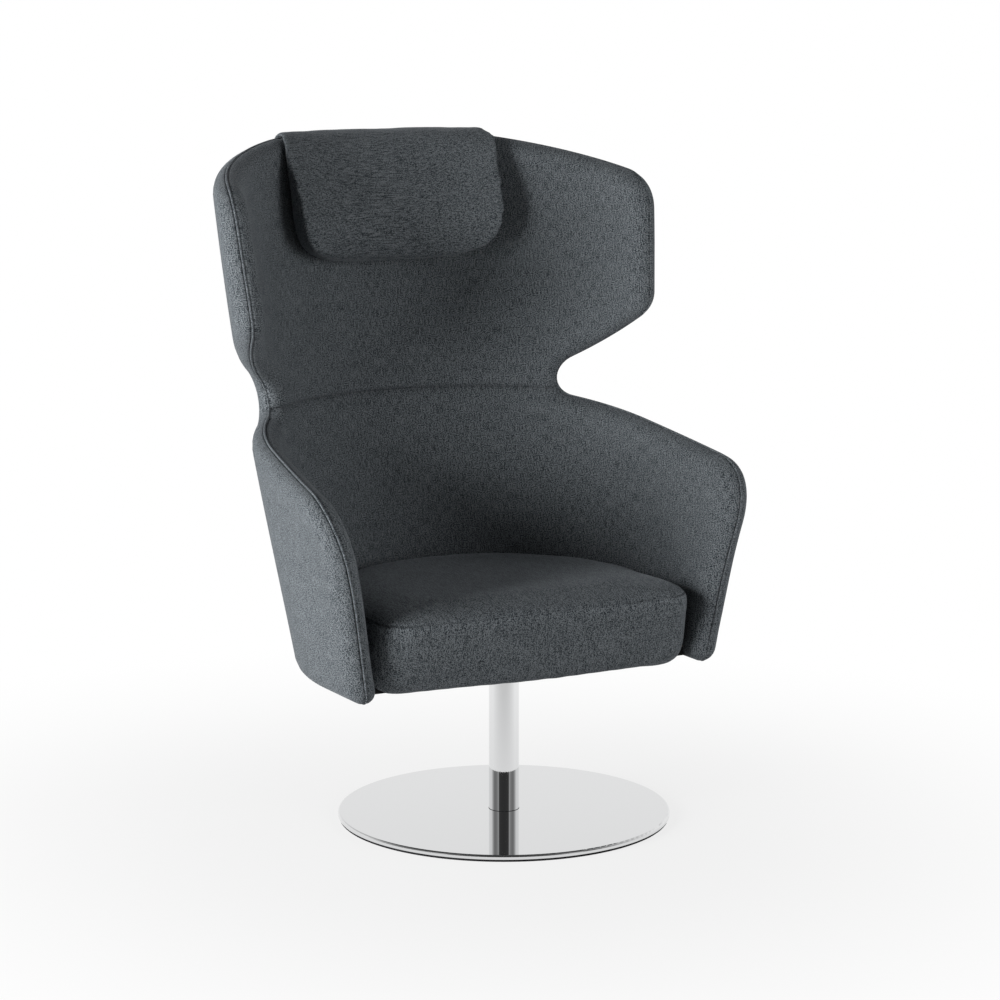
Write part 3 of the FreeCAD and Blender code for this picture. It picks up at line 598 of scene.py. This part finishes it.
def swell(piece, voxel, shrink, pressure, most, passes):
    """Evens out a closed form's mesh, lets pressure fill it and keeps every point within a short move."""
    remesh = piece.modifiers.new("even_mesh", "REMESH")
    remesh.mode = "VOXEL"
    remesh.voxel_size = voxel
    bpy.context.view_layer.update()
    even = bpy.data.meshes.new_from_object(piece.evaluated_get(bpy.context.evaluated_depsgraph_get()))
    piece.modifiers.clear()
    piece.data = even
    body = bmesh.new()
    body.from_mesh(even)
    soften(body, passes)
    body.normal_update()
    for vert in body.verts:
        vert.co -= vert.normal * shrink
    body.to_mesh(even)
    cloth = piece.modifiers.new("filling", "CLOTH")
    cloth.settings.use_pressure = True
    cloth.settings.uniform_pressure_force = pressure
    cloth.settings.effector_weights.gravity = 0
    cloth.settings.quality = 5
    for number in range(1, FILL_FRAMES + 1):
        bpy.context.scene.frame_set(number)
    filled = piece.evaluated_get(bpy.context.evaluated_depsgraph_get()).to_mesh()
    moves = [after.co - before.co for after, before in zip(filled.vertices, body.verts)]
    piece.modifiers.clear()
    bpy.context.scene.frame_set(1)
    for vert, move in zip(body.verts, moves):
        vert.co += move * min(1, most / max(move.length, 1e-9))
    soften(body, passes)
    for face in body.faces:
        face.smooth = True
    return body


def settle(body, piece):
    """Puts a worked mesh back on its piece."""
    body.to_mesh(piece.data)
    body.free()


def sew(body, height, width, pull):
    """A sewn seam at one height: three cuts round the form, the middle one pulled in."""
    for level in (height - width, height + width, height):
        bmesh.ops.bisect_plane(
            body, geom=body.verts[:] + body.edges[:] + body.faces[:], plane_co=(0, 0, level),
            plane_no=(0, 0, 1), dist=1e-5)
    body.normal_update()
    for vert in body.verts:
        if abs(vert.co.z - height) < 1e-5:
            vert.co -= vert.normal * pull


seat_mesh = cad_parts["seat_cushion"].data.copy()
seat_cushion = bpy.data.objects.new("seat_pad", seat_mesh)
bpy.context.scene.collection.objects.link(seat_cushion)
seat_body = swell(seat_cushion, voxel=0.006, shrink=0.0015, pressure=4, most=0.0025, passes=3)
for vert in seat_body.verts:
    low = ease(vert.co.z, *FOOT_BAND)
    wider = (SIDE_WIDER + FOOT_WIDER * low) * ease(abs(vert.co.x), *SIDE_BAND)
    vert.co.x += math.copysign(wider, vert.co.x)
    if vert.co.y > SEAT_FRONT:
        vert.co.z = max(vert.co.z, PAN_TOP)
    else:
        drop = FRONT_DROP + (RIGHT_SLOPE if vert.co.x > 0 else LEFT_SLOPE) * vert.co.x
        vert.co.z -= drop * ease(vert.co.z, *DROP_BAND)
sew(seat_body, SEAT_SEAM, width=0.0022, pull=0.0062)
settle(seat_body, seat_cushion)
seat_cloth = melange(
    "seat_melange", slub_scale=(720, 70, 70), on_cloth=False, fleck_scale=600, fleck_share=0.7)
seat_cushion.data.materials.clear()
seat_cushion.data.materials.append(seat_cloth)
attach(seat_cushion, "seat")
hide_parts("seat_cushion")


# Head pillow: a foam wedge in a sewn cover that hangs over the shell's top edge. Its upper end goes
# over the crest as a padded band, and the part in front slides down with the head.

# From the lower edge over the crest: height and place at the back, height in front, thickness, half
# width and shift to the side
PILLOW_ROWS = (
    (0.8850, -0.036, 0.8825, 0.034, 0.060, 0.002), (0.8905, -0.031, 0.8890, 0.054, 0.122, 0.002),
    (0.9060, -0.029, 0.9050, 0.069, 0.162, 0.002), (0.9330, -0.029, 0.9330, 0.077, 0.182, 0.002),
    (0.9650, -0.029, 0.9660, 0.077, 0.188, 0.002), (1.0000, -0.029, 1.0015, 0.069, 0.191, 0.002),
    (1.0300, -0.029, 1.0325, 0.056, 0.194, 0.003), (1.0530, -0.0285, 1.0570, 0.044, 0.196, 0.004),
    (1.0700, -0.0265, 1.0780, 0.033, 0.198, 0.007), (1.0820, -0.0225, 1.0930, 0.0245, 0.199, 0.010),
    (1.0915, -0.0170, 1.1030, 0.0165, 0.199, 0.013), (1.0985, -0.0095, 1.1085, 0.0085, 0.199, 0.014),
    (1.1018, 0.0000, 1.1110, 0.0010, 0.197, 0.013), (1.0990, 0.0100, 1.1085, -0.0050, 0.193, 0.010),
    (1.0925, 0.0185, 1.1005, -0.0085, 0.187, 0.004), (1.0850, 0.0245, 1.0900, -0.0085, 0.184, 0.002))
PILLOW_SLANT = 0.010


def row_between(rows, share):
    """Values at a share of the way through a table of rows."""
    place = share * (len(rows) - 1)
    index = min(int(place), len(rows) - 2)
    return [a + (b - a) * (place - index) for a, b in zip(rows[index], rows[index + 1])]


def box_form(name, cuts, shape):
    """A box with a grid on every side, each of whose points a function puts in place."""
    form = bmesh.new()
    bmesh.ops.create_cube(form, size=2)
    bmesh.ops.subdivide_edges(form, edges=form.edges[:], cuts=cuts, use_grid_fill=True)
    for vert in form.verts:
        vert.co = shape(vert.co.x, (vert.co.y + 1) / 2, (vert.co.z + 1) / 2)
    bmesh.ops.recalc_face_normals(form, faces=form.faces[:])
    mesh = bpy.data.meshes.new(name)
    form.to_mesh(mesh)
    form.free()
    piece = bpy.data.objects.new(name, mesh)
    bpy.context.scene.collection.objects.link(piece)
    return piece


def pillow_place(across, along, layer):
    """A point of the pillow: share across, share from the lower edge over the crest, and back to front."""
    back_height, back_out, front_height, forward, half_width, aside = row_between(PILLOW_ROWS, along)
    x = across * half_width + aside
    radius, centre, _ = wall_plan(back_height)
    depth = centre + math.sqrt((radius + back_out) ** 2 - x * x)
    slant = PILLOW_SLANT * across * min(max(forward, 0) / 0.02, 1)
    forward = forward * (1 - 0.1 * across * across) + slant
    return Vector((x, depth - forward * layer, back_height + (front_height - back_height) * layer))


pillow = box_form("head_pillow", 31, pillow_place)
pillow_body = swell(pillow, voxel=0.005, shrink=0.0015, pressure=4, most=0.0020, passes=8)
settle(pillow_body, pillow)
pillow_cloth = melange(
    "pillow_melange", slub_scale=(40, 720, 720), on_cloth=False, fleck_scale=680, fleck_share=0.6)
pillow.data.materials.clear()
pillow.data.materials.append(pillow_cloth)
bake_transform(pillow, "seat", "headrest", start=(0, 0.44, 1.087), end=(0, 0.44, 1.045))
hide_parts("headrest_cushion", "headrest_flap")


# Rear band: the flap's tail behind the crest, a flat padded strip sewn to the pillow's upper end and
# lying on the outer cover.

# From its lower end up: height, and the inside and outside counted from the wall's middle
BAND_ROWS = (
    (1.0000, 0.0275, 0.0295), (1.0030, 0.0262, 0.0318), (1.0300, 0.0262, 0.0325), (1.0600, 0.0262, 0.0328),
    (1.0750, 0.0260, 0.0330), (1.0860, 0.0242, 0.0322))
BAND_HALF = 0.186


def band_place(across, along, layer):
    """A point of the band: share across, share from its lower end up, and inside to outside."""
    height, inner, outer = row_between(BAND_ROWS, along)
    place = wall_point(abs(across) * BAND_HALF, height, inner + (outer - inner) * layer)
    return Vector((math.copysign(place.x, across), place.y, place.z))


band = box_form("rear_band", 25, band_place)
band.data.materials.append(pillow_cloth)
for polygon in band.data.polygons:
    polygon.use_smooth = True
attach(band, "seat")


# Counterweight pouch: a sleeve of the same cloth, sewn round a rolled steel bar. It hangs behind the
# back on the band's end and rises as the pillow goes down.
POUCH_LOW = 0.915
POUCH_HIGH = 1.010
POUCH_HALF = 0.187
POUCH_OUT = 0.0425
POUCH_THICK = 0.018


def pouch_place(across, along, layer):
    """A point of the sleeve, which gets thin towards its four edges."""
    edge = max(abs(across), abs(2 * along - 1))
    fat = 1 - 0.75 * edge ** 8
    height = POUCH_LOW + (POUCH_HIGH - POUCH_LOW) * along
    out = POUCH_OUT + (layer - 0.5) * POUCH_THICK * fat
    place = wall_point(abs(across) * POUCH_HALF, height, out)
    return Vector((math.copysign(place.x, across), place.y, place.z))


pouch = box_form("counterweight_sleeve", 25, pouch_place)
pouch_body = swell(pouch, voxel=0.0035, shrink=0.001, pressure=3, most=0.002, passes=3)
settle(pouch_body, pouch)
pouch.data.materials.clear()
pouch.data.materials.append(pillow_cloth)
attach(pouch, "counterweight")
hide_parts("counterweight_pouch")


# Studio: a white floor that runs on to the horizon, a large soft lamp on the left, a weaker one on the
# right and dim walls. The camera stands where the photograph was taken from.
ROOM_FRONT = (-0.48, -0.877, 0)
# Brightness of the room's walls, from the rear wall to the front one
WALL_STOPS = (
    (0.0, 0.90), (0.35, 0.84), (0.5, 0.40), (0.62, 0.20),
    (0.78, 0.24), (0.86, 0.40), (0.89, 0.05), (1.0, 0.035))
floor_form = bmesh.new()
bmesh.ops.create_grid(floor_form, x_segments=1, y_segments=1, size=60)
floor_mesh = bpy.data.meshes.new("studio_floor")
floor_form.to_mesh(floor_mesh)
floor_form.free()
floor = bpy.data.objects.new("studio_floor", floor_mesh)
bpy.context.scene.collection.objects.link(floor)
floor_finish = bpy.data.materials.new("white_floor")
floor_finish.use_nodes = True
floor_finish.node_tree.nodes.clear()
floor_rays = add_node(floor_finish, "ShaderNodeLightPath", {})
floor_seen = add_node(floor_finish, "ShaderNodeMath", {
    0: floor_rays.outputs["Is Camera Ray"], 1: floor_rays.outputs["Is Glossy Ray"]}, operation="MAXIMUM")
floor_shown = add_node(floor_finish, "ShaderNodeMath", {
    0: floor_seen.outputs["Value"], 1: floor_rays.outputs["Is Transmission Ray"]}, operation="MAXIMUM")
floor_matt = add_node(floor_finish, "ShaderNodeBsdfDiffuse", {"Color": (0.6, 0.6, 0.6, 1)})
floor_place = add_node(floor_finish, "ShaderNodeTexCoord", {}).outputs["Object"]
floor_shift = add_node(floor_finish, "ShaderNodeVectorMath", {
    0: floor_place, 1: (0.15, 0.10, 0)}, operation="ADD")
floor_away = add_node(floor_finish, "ShaderNodeVectorMath", {
    0: floor_shift.outputs["Vector"]}, operation="LENGTH")
floor_fade = add_node(floor_finish, "ShaderNodeMapRange", {
    "Value": floor_away.outputs["Value"], "From Min": 0.25, "From Max": 1.5, "To Min": 0.82, "To Max": 1.0},
    interpolation_type="SMOOTHSTEP")
# Painted shade: the floor's glow is a little weaker round the chair, centred a little to its left and front.
floor_painted_shade = add_node(floor_finish, "ShaderNodeMapRange", {
    "Value": floor_away.outputs["Value"], "From Min": 0.25, "From Max": 1.1, "To Min": 0.97, "To Max": 1.0},
    interpolation_type="SMOOTHSTEP")
# Painted reflection shade: for reflected rays the floor glows less towards the camera's side, so the chrome
# shows a darker band there.
floor_front = add_node(floor_finish, "ShaderNodeVectorMath", {
    0: floor_place, 1: ROOM_FRONT}, operation="DOT_PRODUCT")
floor_painted_reflection_shade = add_node(floor_finish, "ShaderNodeMapRange", {
    "Value": floor_front.outputs["Value"], "From Min": 0.0, "From Max": 0.9, "To Min": 1.0, "To Max": 0.7})
floor_reflection_painted_dim = add_node(floor_finish, "ShaderNodeMix", {
    "Factor": floor_rays.outputs["Is Glossy Ray"], "A": 1.0, "B": floor_painted_reflection_shade.outputs["Result"]})
floor_power = add_node(floor_finish, "ShaderNodeMath", {
    0: floor_painted_shade.outputs["Result"], 1: floor_reflection_painted_dim.outputs["Result"]}, operation="MULTIPLY")
floor_glow = add_node(floor_finish, "ShaderNodeEmission", {
    "Color": (1, 1, 1, 1), "Strength": floor_power.outputs["Value"]})
floor_share = add_node(floor_finish, "ShaderNodeMath", {
    0: floor_shown.outputs["Value"], 1: floor_fade.outputs["Result"]}, operation="MULTIPLY")
floor_mix = add_node(floor_finish, "ShaderNodeMixShader", {
    "Fac": floor_share.outputs["Value"], 1: floor_matt.outputs["BSDF"], 2: floor_glow.outputs["Emission"]})
add_node(floor_finish, "ShaderNodeOutputMaterial", {"Surface": floor_mix.outputs["Shader"]})
floor.data.materials.append(floor_finish)

world = bpy.data.worlds.new("studio_world")
bpy.context.scene.world = world
world.use_nodes = True
world.node_tree.nodes.clear()
world_rays = add_node(world, "ShaderNodeLightPath", {})
world_way = add_node(world, "ShaderNodeTexCoord", {}).outputs["Generated"]
world_axes = add_node(world, "ShaderNodeSeparateXYZ", {"Vector": world_way})
world_side = add_node(world, "ShaderNodeVectorMath", {0: world_way, 1: ROOM_FRONT}, operation="DOT_PRODUCT")
world_turn = add_node(world, "ShaderNodeMapRange", {
    "Value": world_side.outputs["Value"], "From Min": -1.0, "From Max": 1.0})
world_wall = add_node(world, "ShaderNodeValToRGB", {"Fac": world_turn.outputs["Result"]})
wall_stops = world_wall.color_ramp.elements
for stop, level in WALL_STOPS:
    wall_stop = wall_stops.new(stop) if 0 < stop < 1 else wall_stops[0 if stop == 0 else len(wall_stops) - 1]
    wall_stop.color = (level, level, level, 1)
world_ceiling = add_node(world, "ShaderNodeMapRange", {
    "Value": world_axes.outputs["Z"], "From Min": 0.25, "From Max": 0.9, "To Min": 1.0, "To Max": 0.12})
world_room = add_node(world, "ShaderNodeMath", {
    0: world_wall.outputs["Color"], 1: world_ceiling.outputs["Result"]}, operation="MULTIPLY")
world_level = add_node(world, "ShaderNodeMix", {
    "Factor": world_rays.outputs["Is Camera Ray"], "A": world_room.outputs["Value"], "B": 1.0})
world_light = add_node(world, "ShaderNodeBackground", {
    "Color": (1, 1, 1, 1), "Strength": world_level.outputs["Result"]})
add_node(world, "ShaderNodeOutputWorld", {"Surface": world_light.outputs["Background"]})


def hang_lamp(name, place, aim, across, power):
    """A round soft lamp that points at its aim and doesn't show in the polished metal."""
    lamp = bpy.data.lights.new(name, "AREA")
    lamp.shape = "DISK"
    lamp.size = across
    lamp.energy = power
    lamp_piece = bpy.data.objects.new(name, lamp)
    lamp_piece.location = place
    lamp_piece.rotation_euler = (Vector(aim) - Vector(place)).to_track_quat("-Z", "Y").to_euler()
    lamp_piece.visible_glossy = False
    bpy.context.scene.collection.objects.link(lamp_piece)


hang_lamp("left_softbox", place=(-3.55, -0.35, 1.1), aim=(0, 0.1, 0.65), across=2.0, power=225)
hang_lamp("right_softbox", place=(2.2, -2.7, 1.15), aim=(0, 0.1, 0.75), across=2.2, power=64)

camera_data = bpy.data.cameras.new("studio_camera")
camera_data.lens = 108.17
camera_data.sensor_width = 36
camera = bpy.data.objects.new("studio_camera", camera_data)
camera_aim = Vector((-0.00739, 0, 0.53031))
azimuth = math.radians(-28.7437)
elevation = math.radians(10.0431)
camera_back = Vector((
    math.sin(azimuth) * math.cos(elevation), -math.cos(azimuth) * math.cos(elevation), math.sin(elevation)))
camera_distance = 4.89798
camera.location = camera_aim + camera_back * camera_distance
camera.rotation_euler = (-camera_back).to_track_quat("-Z", "Y").to_euler()
bpy.context.scene.collection.objects.link(camera)
bpy.context.scene.camera = camera
bpy.context.scene.view_settings.view_transform = "Standard"
